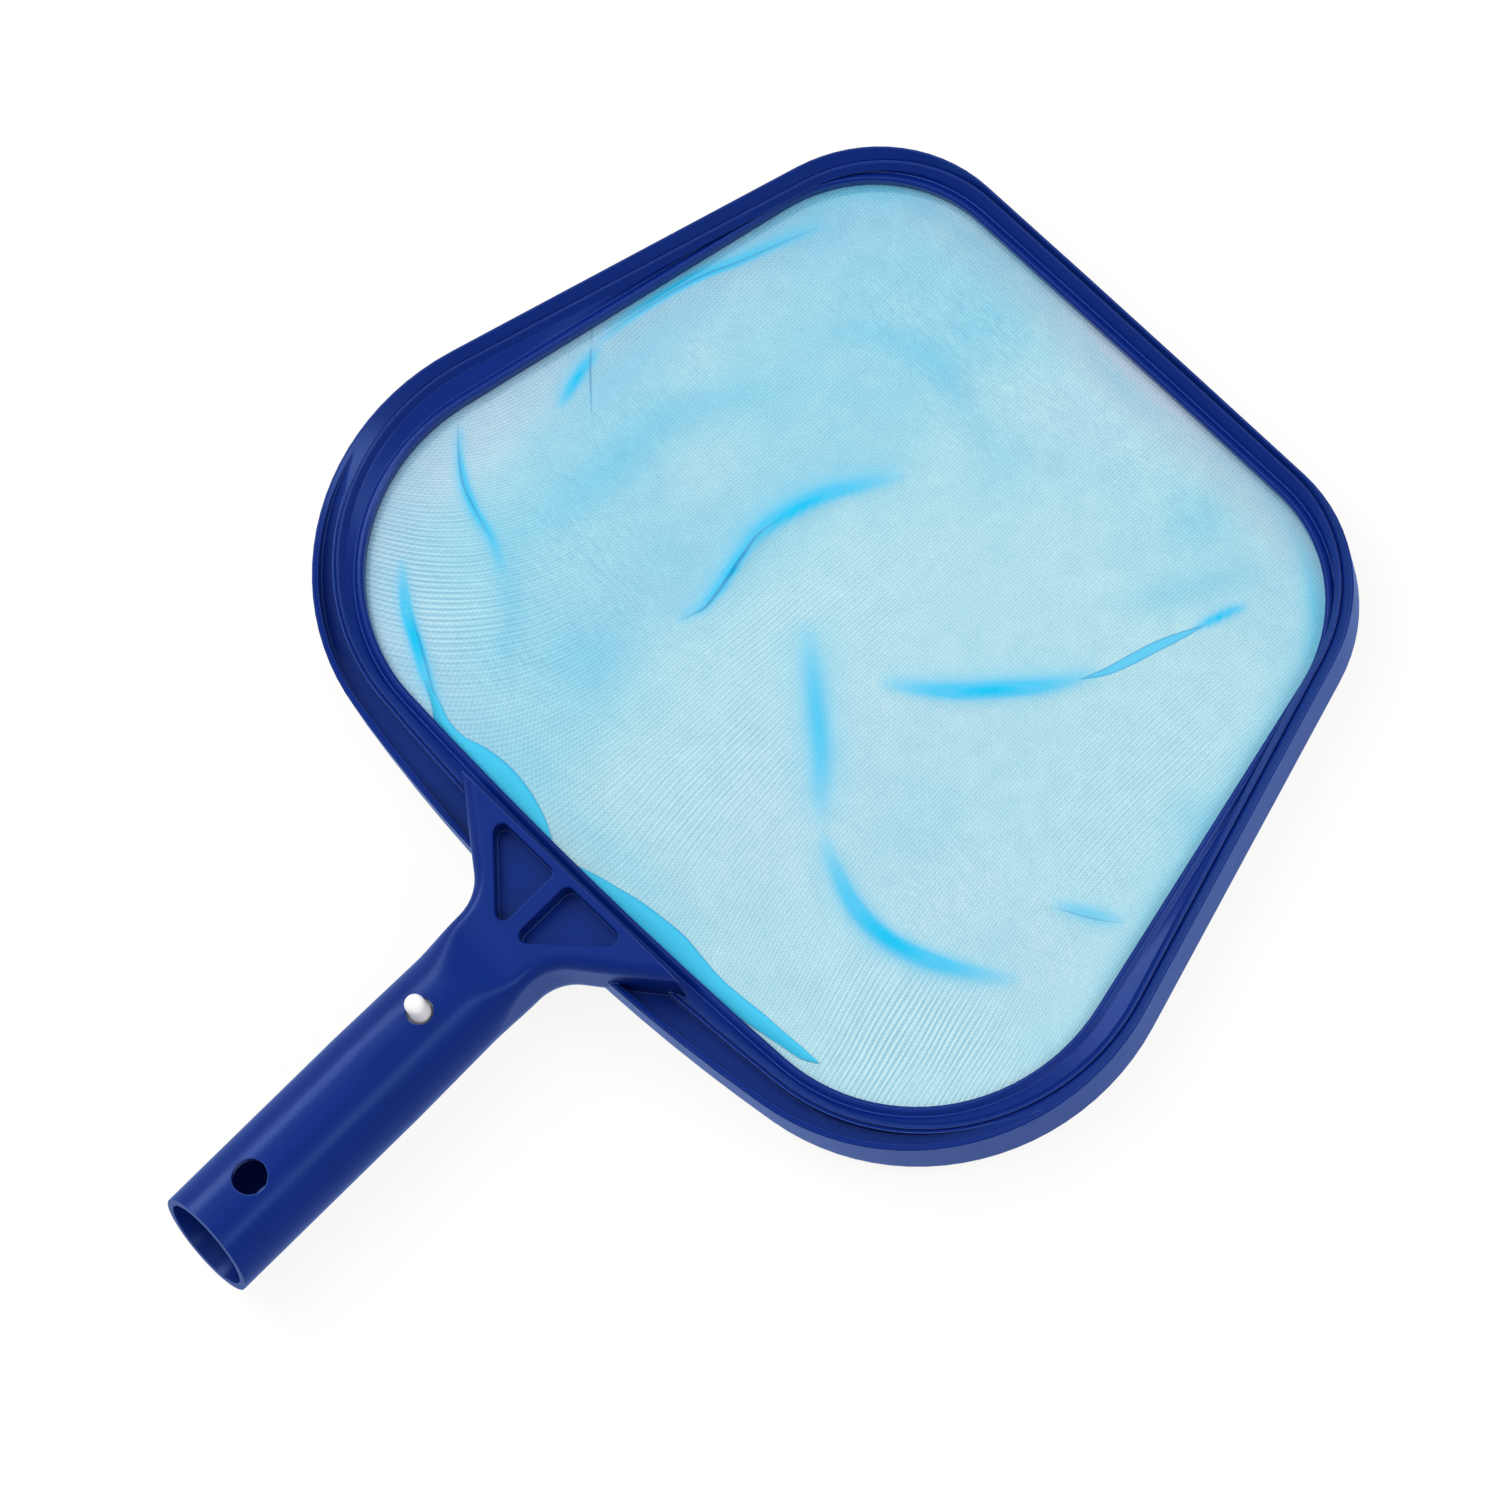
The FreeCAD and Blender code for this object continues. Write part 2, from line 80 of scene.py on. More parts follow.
# Soft folds of the slack net, in mm from the shank's mouth: a smooth line through a few places, the half
# width of its body, how far it fades out on its left and on its right, its strength and its height.
FOLDS = [
    dict(line=[(268, 20), (258, 26.5), (251, 30.9), (243, 34.1), (235.6, 36), (229, 36.6), (223, 35.6),
               (214, 33.6)],
         body=0.9, left=1.3, right=4.3, dark=1.0, lift=1.2),
    dict(line=[(240, 35.4), (231, 36.6), (223.3, 35.6), (217.7, 34.4), (211.8, 33.4), (207, 33), (203, 34.2),
               (199, 36)],
         body=0.5, left=1.0, right=3.4, dark=1.0, lift=0.8),
    dict(line=[(223, -14), (230.6, -25.5), (236.4, -32.5), (243.8, -39.7), (251.5, -46.6), (258, -51.1),
               (266, -55)],
         body=1.0, left=3.6, right=1.6, dark=1.0, lift=1.2),
    dict(line=[(289, -64), (295.4, -66.3), (299.9, -68), (304, -70)],
         body=0.55, left=1.3, right=0.8, dark=1.0, lift=0.6),
    dict(line=[(223, 12), (214.2, -0.2), (207.4, -8.7), (200.6, -17.2), (192.5, -25.5), (186, -33)],
         body=0.3, left=4.8, right=4.8, dark=0.78, lift=0.7),
    dict(line=[(187, -32), (183.5, -38), (181, -44), (178, -53.5), (177.5, -64), (180.5, -76), (186, -87),
               (194, -99)],
         body=1.1, left=2.0, right=3.0, dark=1.0, lift=1.2),
    dict(line=[(238, 105), (231, 104), (218, 101)],
         body=0.5, left=1.2, right=2.0, dark=1.0, lift=0.5),
    dict(line=[(235, 106), (252, 103.6), (262, 101.2), (270, 98.6), (278, 95), (290, 90.4), (303, 85)],
         body=0.35, left=3.6, right=0.8, dark=0.95, lift=0.7),
    dict(line=[(198, 117), (191, 110), (187, 104), (184, 97), (182, 89), (177, 78)],
         body=0.5, left=1.1, right=1.6, dark=0.95, lift=0.7),
    dict(line=[(162, 102), (157, 96), (152, 89), (148, 81), (142.5, 70), (139, 60)],
         body=1.0, left=1.2, right=1.4, dark=1.0, lift=0.7),
    dict(line=[(213, -89), (217, -97), (223, -108)],
         body=0.5, left=2.2, right=2.2, dark=0.6, lift=0.5),
]

# Where the net lies doubled, with crisp edges: line and half width, in mm.
BANDS = [
    dict(line=[(257, -50.6), (266.1, -55.6), (272.8, -58), (279.7, -60.2), (286.2, -62.8), (296, -66.8)],
         half=1.5),
]

# Thin creases: line and half width, in mm.
CREASES = [
    dict(line=[(240, 35.4), (229, 36.7), (223.3, 35.6), (217.7, 34.4), (211.8, 33.5), (207, 33), (203, 34.2),
               (198, 36.4)], half=0.5),
    dict(line=[(241, 111), (237, 107.5), (230, 101), (222, 92)], half=0.24),
    dict(line=[(236, 107), (252, 103.9), (262, 101.4), (270, 98.8), (278, 95.2), (290, 90.6), (302, 86)],
         half=0.24),
    dict(line=[(199, 119), (191, 110.5), (187, 105), (184, 97), (181, 86)], half=0.26),
    dict(line=[(213, -91), (217, -99), (222, -107)], half=0.12),
    dict(line=[(153, 89), (148.5, 80), (142.6, 69), (139.5, 62)], half=0.22),
]

# Broad rises where the net looks bluer: line and fade, in mm, and strength.
RISES = [
    dict(line=[(186, 84), (205, 79), (220, 79), (236, 78), (250, 71), (262, 60)],
         fade=7.0, dark=0.42),
    dict(line=[(278, 68), (286, 59), (292, 51), (294.5, 42), (294, 31), (291, 20), (289, 8)],
         fade=4.4, dark=0.4),
    dict(line=[(184, 92), (178, 81), (170, 68), (160, 62)], fade=3.6, dark=0.35),
    dict(line=[(280, -44), (290, -52), (301, -58), (313, -66)], fade=5.0, dark=0.4),
    dict(line=[(332, 60), (329, 36), (326, 15), (324, -5), (326, -27), (330, -52)], fade=2.8, dark=0.4),
]

# Broad round patches, bluer or, where negative, paler: x, y, reach along x and y, strength.
PATCHES = [(209, 52, 11, 13, 0.14), (178, 45, 12, 11, 0.26), (286, 4, 12, 12, 0.32),
           (268, 24, 9, 7, 0.2), (311, -44, 9, 8, 0.3), (236, 61, 12, 8, -0.22),
           (244, 96, 30, 6, 0.2), (200, -86, 14, 10, 0.16), (253, -98, 9, 7, 0.3),
           (300, 88, 16, 10, 0.25), (197, 109, 22, 9, -0.26), (158, 80, 10, 10, -0.16),
           (190, 31, 15, 7, -0.16), (250, 82, 10, 7, -0.12), (254, -76, 16, 12, -0.2),
           (288, -78, 14, 10, -0.12), (302, 52, 10, 12, -0.1), (144, 8, 6, 34, 0.3),
           (216, 22, 8, 6, -0.1), (203, -52, 20, 16, 0.12)]

# Where single threads show: x, y, reach along x and y, strength.
THREADS = [(162, 88, 18, 26, 1.2), (164, -6, 18, 26, 0.35), (160, -94, 18, 22, 1.7), (255, -86, 40, 18, 0.3),
           (235, 4, 20, 18, 0.15), (190, -6, 12, 16, 0.4), (212, 16, 14, 12, 0.35)]

# Where the net is crinkled into fine strokes: x, y, reach along x and y, strength.
CRINKLES = [(304, 40, 22, 40, 1.0), (196, 62, 22, 22, 0.9), (236, 84, 30, 14, 0.6), (160, 60, 10, 14, 0.7),
            (314, -30, 12, 26, 0.6), (200, -66, 16, 14, 0.7), (222, -96, 20, 10, 0.6)]

# The net's cut edge, which shows beside the ring on the neck side: inner and outer edge of each strip, in mm.
SURPLUS = [
    ([(142.8, 71.5), (141.2, 64.8), (139.4, 59), (139.2, 53), (141, 47), (141.9, 39.5), (141.4, 32),
      (139.9, 25.5), (138.2, 20.5), (136, 16)],
     [(142.6, 71.5), (139.2, 65.5), (135.6, 60), (134, 50), (133.8, 40), (133.6, 28), (133.6, 15)]),
    ([(135.6, 6), (137.6, -0.5), (138.8, -5.6), (140.3, -11.8), (141.4, -20), (141.9, -28.6), (141.3, -34.6),
      (140.7, -41), (141.1, -51), (141.7, -57), (141.9, -63), (142.4, -70), (142.6, -77)],
     [(133.6, 5), (133.8, -14), (134, -30), (134.6, -42), (136.1, -48.7), (136.7, -54.7), (137.8, -61),
      (138.9, -67.2), (140.2, -73.4), (142.4, -77.2)]),
]

# Painted shade of the weave: colour that the net is multiplied by at the gaps between its threads, so that
# the threads stand out as a painted highlight. The weave's lines are real; their light and dark is painted.
WEAVE_SHADE = (0.40, 0.64, 0.77)

# Threads per pitch of the weave: the coarse lines, the fine ones beside them and those that cross them.
COARSE, WEFT, WARP = 1.0, 1.58, 1.31

# Lamps: name, place and aim in m, size in m, power in W, and whether the plastic mirrors it.
LAMPS = (
    ("key", (0.1, 0.8, 1.5), (0.2, 0.0, 0.0), 1.2, 14.0, False),
    ("fill", (0.9, -0.9, 1.1), (0.1, 0.0, 0.0), 0.55, 7.0, True),
    ("top", (-0.3, 0.1, 1.6), (0.2, 0.0, 0.0), 0.8, 5.0, False),
    ("streak", (0.15, -1.25, 1.35), (0.1, 0.0, 0.0), 0.35, 2.0, True),
    ("side", (0.0, 1.4, 1.0), (0.1, 0.0, 0.0), 0.6, 6.0, True),
)
WORLD_COLOUR = (0.98, 0.985, 1.0)
WORLD_STRENGTH = 0.5

# The floor: half its width and its gap to the part in m, its glow for the camera, how much of what the camera
# sees is that glow, and the colour and strength of a glow that it shows only in the gloss of plastic, a
# painted reflection.
FLOOR_HALF = 3.0
FLOOR_GAP = 0.0003
FLOOR_GLOW = 1.03
GLOW_SHARE = 0.88
FLOOR_SHINE = (0.3, 0.45, 0.85)
SHINE_STRENGTH = 1.1

# The camera's sensor in mm, its right, up and backward directions, and its place in m.
SENSOR_WIDTH = 36.0
EYE_RIGHT = (0.7115, -0.6845, -0.1588)
EYE_UP = (0.6955, 0.6538, 0.298)
EYE_BACK = (-0.1002, -0.3225, 0.9413)
EYE_PLACE = (-0.0142, -0.6552, 1.8919)


def colour_property(name, description, default):
    """Colour setting of a property group."""
    return bpy.props.FloatVectorProperty(name=name, description=description, default=default, subtype="COLOR",
                                         size=3, min=0, max=1)


def length_property(name, description, default, **limits):
    """Length setting of a property group; its default is given in mm and kept in metres."""
    return bpy.props.FloatProperty(name=name, description=description, default=default * MM, min=0.0,
                                   unit="LENGTH", **limits)


class SkimmerNet(bpy.types.PropertyGroup):
    """Sizes and colours of the net."""
    sag: length_property("Sag", "How far the middle of the net hangs", 2.5, max=6 * MM)
    tuck: length_property("Tuck", "Width of net held under the ring", 2.4)
    pitch: length_property("Pitch", "Spacing of the threads", 1.4)
    pale: colour_property("Pale", "Net lying flat", (0.435, 0.655, 0.69))
    # Grey is painted light and shade: the net seen against the light, and shade beside the far ring.
    grey: colour_property("Grey", "Net seen against the light", (0.56, 0.60, 0.68))
    blue: colour_property("Blue", "Net lying steep", (0.11, 0.50, 0.66))
    deep: colour_property("Deep", "Folded net", (0.010, 0.43, 0.69))
    crease: colour_property("Crease", "Creases and cut edges", (0.008, 0.20, 0.42))


class SkimmerPlastic(bpy.types.PropertyGroup):
    """Colours and finish of the mouldings."""
    blue: colour_property("Blue", "Frame and snap ring", (0.001, 0.015, 0.165))
    # Rim: a painted highlight along the moulded edges.
    rim: colour_property("Rim", "Edges of the frame and the snap ring", (0.09, 0.16, 0.45))
    sheen: colour_property("Sheen", "Colour of the gloss on the blue mouldings", (0.3, 0.5, 1.0))
    white: colour_property("White", "Clip and buttons", (0.88, 0.87, 0.87))
    edge: length_property("Edge", "Roundness of the moulded edges", 0.45)


class SkimmerStage(bpy.types.PropertyGroup):
    """Floor, lamps and camera."""
    floor: colour_property("Floor", "Floor colour", (0.97, 0.97, 0.95))
    lens: bpy.props.FloatProperty(name="Lens", description="Camera lens in mm", default=188.5, min=1.0)


def arc_places(shape, grow):
    """Centres and radii of a hoop outline's arcs, and its side line, all moved outward by grow."""
    near_r = (shape["near_half"] ** 2 + shape["near_bow"] ** 2) / (2 * shape["near_bow"])
    far_r = (shape["far_half"] ** 2 + shape["far_bow"] ** 2) / (2 * shape["far_bow"])
    near_c = np.array([shape["near_x"] + near_r, 0.0])
    far_c = np.array([shape["far_x"] - far_r, 0.0])
    near_p = np.array([shape["near_x"] + shape["near_bow"], shape["near_half"]])
    far_p = np.array([shape["far_x"] - shape["far_bow"], shape["far_half"]])
    along = (far_p - near_p) / np.linalg.norm(far_p - near_p)
    inward = np.array([along[1], -along[0]])
    corners = []
    for centre, radius, corner, way in ((near_c, near_r, shape["near_corner"], -1),
                                        (far_c, far_r, shape["far_corner"], 1)):
        start = near_p + inward * corner
        rel = start - centre
        b = rel @ along
        root = math.sqrt(b * b - (rel @ rel - (radius - corner) ** 2))
        middle = start + along * (-b + way * root)
        out = (middle - centre) / np.linalg.norm(middle - centre)
        corners.append((middle, corner + grow, (middle + out * (corner + grow)),
                        (middle - inward * (corner + grow))))
    return near_c, near_r + grow, far_c, far_r + grow, corners


def outline_reach(shape, grow, y):
    """Lowest and highest x of a hoop outline at each |y|.

    The lowest follows the near arc, then the near corner; the highest the far arc, the far corner, the side
    line and the back of the near corner."""
    near_c, near_r, far_c, far_r, (near, far) = arc_places(shape, grow)
    y = np.abs(y)
    arc = near_c[0] - np.sqrt(near_r ** 2 - y ** 2)
    corner = near[0][0] - np.sqrt(np.maximum(near[1] ** 2 - (y - near[0][1]) ** 2, 0))
    low = np.where(y < near[2][1], arc, corner)
    arc = far_c[0] + np.sqrt(far_r ** 2 - y ** 2)
    corner = far[0][0] + np.sqrt(np.maximum(far[1] ** 2 - (y - far[0][1]) ** 2, 0))
    slope = (far[3][0] - near[3][0]) / (far[3][1] - near[3][1])
    side = near[3][0] + (y - near[3][1]) * slope
    top = near[0][0] + np.sqrt(np.maximum(near[1] ** 2 - (y - near[0][1]) ** 2, 0))
    high = np.where(y < near[3][1], side, top)
    high = np.where(y < far[2][1], arc, np.where(y < far[3][1], corner, high))
    return low, high


def smooth_line(points, count=160):
    """A curve through the points: cubics whose slope at a point is that between its neighbours."""
    p = np.array(points, float)
    steps = np.concatenate([[0], np.cumsum(np.linalg.norm(np.diff(p, axis=0), axis=1))])
    slope = np.gradient(p, steps, axis=0)
    s = np.linspace(0, steps[-1], count)
    i = np.clip(np.searchsorted(steps, s, side="right") - 1, 0, len(p) - 2)
    h = steps[i + 1] - steps[i]
    t = ((s - steps[i]) / h)[:, None]
    h = h[:, None]
    return ((2 * t ** 3 - 3 * t ** 2 + 1) * p[i] + (t ** 3 - 2 * t ** 2 + t) * h * slope[i]
            + (-2 * t ** 3 + 3 * t ** 2) * p[i + 1] + (t ** 3 - t ** 2) * h * slope[i + 1])


def line_places(x, y, points, reach):
    """Plan points within reach of a line: which they are, their signed distance to it, and how far along it
    they lie, from 0 to 1."""
    line = smooth_line(points)
    tangent = np.gradient(line, axis=0)
    tangent /= np.linalg.norm(tangent, axis=1)[:, None]
    lo, hi = line.min(0) - reach, line.max(0) + reach
    near = (x > lo[0]) & (x < hi[0]) & (y > lo[1]) & (y < hi[1])
    dx = x[near][:, None] - line[:, 0]
    dy = y[near][:, None] - line[:, 1]
    best = (dx ** 2 + dy ** 2).argmin(1)
    rows = np.arange(len(best))
    dx, dy = dx[rows, best], dy[rows, best]
    side = tangent[best, 0] * dy - tangent[best, 1] * dx
    past = tangent[best, 0] * dx + tangent[best, 1] * dy
    distance = np.where(np.abs(past) > 0.6, np.sqrt(dx ** 2 + dy ** 2) * np.sign(side), side)
    return near, distance, best / (len(line) - 1)


def fold_field(x, y, fold):
    """Darkness and height of a fold: full over its body, then a bell to each side, fading at both ends."""
    dark = np.zeros_like(x)
    lift = np.zeros_like(x)
    near, distance, place = line_places(x, y, fold["line"], 3 * max(fold["left"], fold["right"]) + 3)
    end = np.sin(np.pi * np.clip(place, 0, 1)) ** 0.7
    soft = np.where(distance > 0, fold["left"], fold["right"])
    outside = np.maximum(np.abs(distance) - fold["body"] * end, 0) / soft
    wide, narrow = np.exp(-outside ** 2 / 2), np.exp(-(1.8 * outside) ** 2)
    dark[near] = fold["dark"] * end * (0.4 * wide + 0.6 * narrow)
    lift[near] = fold["lift"] * end * np.exp(-(distance / (fold["body"] + 2.0)) ** 2)
    return dark, lift


def crisp_field(x, y, lines, limit=3.0):
    """Signed distance to the nearest crisp line, and that line's half width there, which falls below 0 at
    both ends so that the line stops."""
    distance = np.full_like(x, limit)
    half = np.full_like(x, -limit)
    for one in lines:
        near, d, place = line_places(x, y, one["line"], limit)
        width = one["half"] * (2 * np.sin(np.pi * np.clip(place, 0, 1)) ** 0.5 - 1)
        closer = np.abs(d) < np.minimum(np.abs(distance[near]), limit)
        distance[near] = np.where(closer, d, distance[near])
        half[near] = np.where(closer, width, half[near])
    return distance, half


def rise_field(x, y, rise):
    """Strength of a broad rise: a bell across its line, fading at both ends."""
    value = np.zeros_like(x)
    near, distance, place = line_places(x, y, rise["line"], 3 * rise["fade"])
    end = np.sin(np.pi * np.clip(0.06 + 0.88 * place, 0, 1)) ** 0.8
    value[near] = rise["dark"] * end * np.exp(-(distance / rise["fade"]) ** 2)
    return value


def patch_field(x, y, patches):
    """Sum of oval bells."""
    total = np.zeros_like(x)
    for cx, cy, rx, ry, strength in patches:
        total += strength * np.exp(-((x - cx) / rx) ** 2 - ((y - cy) / ry) ** 2)
    return total


def bell(value, middle, reach):
    """1 at the middle, falling off to both sides as a bell curve."""
    return np.exp(-((value - middle) / reach) ** 2)


def ramp(value, start, length):
    """0 up to the start, then a straight rise to 1 over the length."""
    return np.clip((value - start) / length, 0, 1)


def soft_step(value, middle, width):
    """Soft change from 0 to 1 round the middle."""
    return 1 / (1 + np.exp((middle - value) / width))


def wander(x, y, scale, seed):
    """Slow unevenness from -1 to 1: a sum of slanted sine waves whose phases bend each other."""
    total = np.zeros_like(x)
    for i in range(4):
        turn = 2.4 * i + seed
        pitch = scale * (1.0 - 0.17 * i)
        phase = (x * math.cos(turn) + y * math.sin(turn)) / pitch + 1.7 * i + seed
        bend = np.sin((y * math.cos(turn) - x * math.sin(turn)) / (1.6 * pitch) + seed)
        total += np.sin(phase + 0.9 * bend)
    return total / 4


def put_mesh(name, grid):
    """Mesh object from a grid of points in metres, one quad per cell, with smooth faces."""
    rows, cols = grid.shape[:2]
    index = np.arange(rows * cols).reshape(rows, cols)
    a, b = index[:-1, :-1], index[1:, :-1]
    c, d = index[1:, 1:], index[:-1, 1:]
    quads = np.stack([a, b, c, d], axis=-1).reshape(-1, 4)
    mesh = bpy.data.meshes.new(name)
    mesh.vertices.add(rows * cols)
    mesh.vertices.foreach_set("co", grid.reshape(-1).astype(np.float32))
    mesh.loops.add(len(quads) * 4)
    mesh.loops.foreach_set("vertex_index", quads.reshape(-1).astype(np.int32))
    mesh.polygons.add(len(quads))
    mesh.polygons.foreach_set("loop_start", np.arange(0, len(quads) * 4, 4, dtype=np.int32))
    mesh.polygons.foreach_set("use_smooth", np.ones(len(quads), bool))
    mesh.update(calc_edges=True)
    mesh.validate()
    piece = bpy.data.objects.new(name, mesh)
    bpy.context.scene.collection.objects.link(piece)
    return piece


def put_layer(piece, name, values):
    """Stores one value per vertex for the material to read."""
    layer = piece.data.attributes.new(name, "FLOAT", "POINT")
    layer.data.foreach_set("value", values.reshape(-1).astype(np.float32))


def put_uv(piece, uv):
    """Stores a UV map, in metres of cloth, from one pair per vertex."""
    mesh = piece.data
    corners = np.empty(len(mesh.loops), np.int32)
    mesh.loops.foreach_get("vertex_index", corners)
    layer = mesh.uv_layers.new(name="cloth")
    layer.data.foreach_set("uv", uv.reshape(-1, 2)[corners].reshape(-1).astype(np.float32))


def cloth_uv(x, y):
    """Threads run along X and Y, a little wavy. Those along X swing round toward the neck side, where the net
    is pulled askew: their lean grows with y, and takes effect softly below an x of 196 mm."""
    lean = -0.0057 * y - 0.000027 * y ** 2
    reach = -14.0 * np.log1p(np.exp((196 - x) / 14.0))
    v = y - lean * reach + 1.6 * np.sin(x / 41.0 + y / 60.0) + 0.9 * np.sin((x - 0.7 * y) / 19.0 + 1.0)
    u = x + 3.0 * np.sin(y / 34.0 + 0.6) + 1.2 * np.sin((x + 1.3 * y) / 27.0)
    return np.stack([u, v], axis=-1) * MM


def net_grid(rows=330, cols=270, grow=2.4):
    """Plan points of the net: rows across Y, crowded toward both ends, and each row from near to far edge."""
    near = arc_places(RING_INSIDE, grow)[4][0]
    half = near[0][1] + near[1]
    y = half * np.sin(np.linspace(-1, 1, rows) * math.pi / 2)
    low, high = outline_reach(RING_INSIDE, grow, y)
    s = np.linspace(0, 1, cols)
    s = s - 0.02 * np.sin(2 * math.pi * s)
    x = low[:, None] + (high - low)[:, None] * s
    return x, np.repeat(y[:, None], cols, axis=1), half


def edge_room(x, y, at_once=8000):
    """How far a plan point is inside the ring's edge, in mm: its distance to a fine walk round the outline,
    negative outside, worked out for some points at once to spare memory."""
    near = arc_places(RING_INSIDE, 0)[4][0]
    half = near[0][1] + near[1]
    walk_y = half * np.sin(np.linspace(-1, 1, 700) * math.pi / 2)
    low, high = outline_reach(RING_INSIDE, 0, walk_y)
    walk = np.concatenate([np.stack([low, walk_y], 1), np.stack([high, walk_y], 1)])
    room = np.empty(x.size)
    points = np.stack([x.ravel(), y.ravel()], 1)
    for i in range(0, len(points), at_once):
        part = points[i:i + at_once]
        room[i:i + at_once] = np.sqrt(((part[:, None] - walk) ** 2).sum(2).min(1))
    room = room.reshape(x.shape)
    low, high = outline_reach(RING_INSIDE, 0, np.clip(y, -half, half))
    outside = (x < low) | (x > high) | (np.abs(y) > half)
    return np.where(outside, -room, room)


def net_height(x, y, room, look):
    """Height of the net in mm: it sags from the ring's edge, wanders a little and rises at its folds."""
    inside = np.clip(room / SAG_REACH, 0, 1)
    ease = inside * inside * (3 - 2 * inside)
    z = NET_Z - look.sag / MM * ease + WANDER_LIFT * wander(x, y, 15.0, 0.4) * ease
    for one in FOLDS:
        z = z + fold_field(x, y, one)[1] * np.clip(room / FOLD_REACH, 0, 1)
    for one in RISES:
        z = z + RISE_LIFT * rise_field(x, y, one) * ease
    return z


def new_material(name):
    """Empty node material with its Principled shader."""
    material = bpy.data.materials.new(name)
    material.use_nodes = True
    tree = material.node_tree
    shader = next(n for n in tree.nodes if n.type == "BSDF_PRINCIPLED")
    return material, tree, shader


def add_node(tree, kind, **values):
    """Adds a node; values set its sockets or properties by name."""
    node = tree.nodes.new(kind)
    for key, value in values.items():
        if key in node.inputs:
            node.inputs[key].default_value = value
        else:
            setattr(node, key, value)
    return node


def math_node(tree, operation, a, b=None, clamp=False):
    """One Math node on sockets or numbers; returns its output."""
    node = tree.nodes.new("ShaderNodeMath")
    node.operation = operation
    node.use_clamp = clamp
    for socket, value in zip(node.inputs, (a, b)):
        if value is None:
            continue
        if isinstance(value, (int, float)):
            socket.default_value = value
        else:
            tree.links.new(value, socket)
    return node.outputs[0]


def mix_colour(tree, factor, a, b):
    """Mixes two colours, each a socket or an RGB triple, by a factor socket if one is given."""
    node = tree.nodes.new("ShaderNodeMix")
    node.data_type = "RGBA"
    ends = [s for s in node.inputs if s.type == "RGBA"]
    for socket, value in zip(ends, (a, b)):
        if hasattr(value, "is_linked"):
            tree.links.new(value, socket)
        else:
            socket.default_value = (*value, 1.0)
    if factor is not None:
        tree.links.new(factor, node.inputs[0])
    return next(s for s in node.outputs if s.type == "RGBA")


def multiply_colour(tree, a, b):
    """Product of two colour sockets."""
    product = mix_colour(tree, None, a, b)
    product.node.blend_type = "MULTIPLY"
    product.node.inputs[0].default_value = 1.0
    return product


def times(tree, a, b, clamp=False):
    """Product of two values, each a socket or a number."""
    return math_node(tree, "MULTIPLY", a, b, clamp)


def plus(tree, a, b, clamp=False):
    """Sum of two values, each a socket or a number."""
    return math_node(tree, "ADD", a, b, clamp)


def noise(tree, place, centre=None, **values):
    """Noise value at a place, less its centre if that is given."""
    node = add_node(tree, "ShaderNodeTexNoise", **values)
    tree.links.new(place, node.inputs["Vector"])
    value = node.outputs["Fac"]
    return value if centre is None else math_node(tree, "SUBTRACT", value, centre)


def attribute(tree, name):
    """Value of a layer that is stored on the mesh."""
    return add_node(tree, "ShaderNodeAttribute", attribute_name=name).outputs["Fac"]


def scaled(colour, share):
    """A colour with each channel times a share."""
    return tuple(c * share for c in colour)


def new_group(name, inputs, outputs):
    """Shader node group with named inputs, each (name, kind, default), and named outputs."""
    group = bpy.data.node_groups.new(name, "ShaderNodeTree")
    for label, kind, default in inputs:
        socket = group.interface.new_socket(label, in_out="INPUT", socket_type=kind)
        if default is not None:
            socket.default_value = default
    for label, kind in outputs:
        group.interface.new_socket(label, in_out="OUTPUT", socket_type=kind)
    return group, group.nodes.new("NodeGroupInput"), group.nodes.new("NodeGroupOutput")


def weave_group():
    """Net weave: coarse lines that show more or less, fine crossed threads, crinkles, and a fine speckle."""
    group, given, put = new_group("Net Weave", [
        ("Cloth", "NodeSocketVector", None), ("Pitch", "NodeSocketFloat", 0.0014),
        ("Shown", "NodeSocketFloat", 0.5), ("Crinkle", "NodeSocketFloat", 0.0)],
        [("Thread", "NodeSocketFloat"), ("Height", "NodeSocketFloat")])
    cloth, pitch = given.outputs["Cloth"], given.outputs["Pitch"]
    split = add_node(group, "ShaderNodeSeparateXYZ")
    group.links.new(cloth, split.inputs[0])
    shift = times(group, noise(group, cloth, Scale=38.0, Detail=1.0), 0.0018)
    turns = math_node(group, "DIVIDE", plus(group, split.outputs["Y"], shift), pitch)
    crossing = math_node(group, "DIVIDE", split.outputs["X"], pitch)
    broad, weft, warp = (math_node(group, "COSINE", times(group, along, 2 * math.pi * ratio))
                         for along, ratio in ((turns, COARSE), (turns, WEFT), (crossing, WARP)))
    patchy = noise(group, cloth, 0.22, Scale=30.0, Detail=2.0, Distortion=0.8)
    patchy = times(group, patchy, 3.0, clamp=True)
    coarse = times(group, broad, times(group, given.outputs["Shown"], patchy))
    fine = plus(group, times(group, times(group, weft, warp), 0.4), times(group, weft, 0.34))
    stretch = add_node(group, "ShaderNodeMapping", Rotation=(0.0, 0.0, 0.35), Scale=(1000.0, 230.0, 1.0))
    group.links.new(cloth, stretch.inputs["Vector"])
    stroke = noise(group, stretch.outputs[0], 0.5, Scale=1.0, Detail=3.0, Distortion=1.2)
    crinkled = times(group, times(group, stroke, given.outputs["Crinkle"]), 1.9)
    grit = times(group, noise(group, cloth, 0.5, Scale=1400.0, Detail=1.0), 1.1)
    clouded = times(group, noise(group, cloth, 0.5, Scale=150.0, Detail=3.0, Distortion=0.6), 0.9)
    threads = plus(group, coarse, fine)
    total = plus(group, plus(group, threads, plus(group, grit, clouded)), crinkled)
    group.links.new(plus(group, times(group, total, 0.5), 0.5, clamp=True), put.inputs["Thread"])
    group.links.new(threads, put.inputs["Height"])
    return group


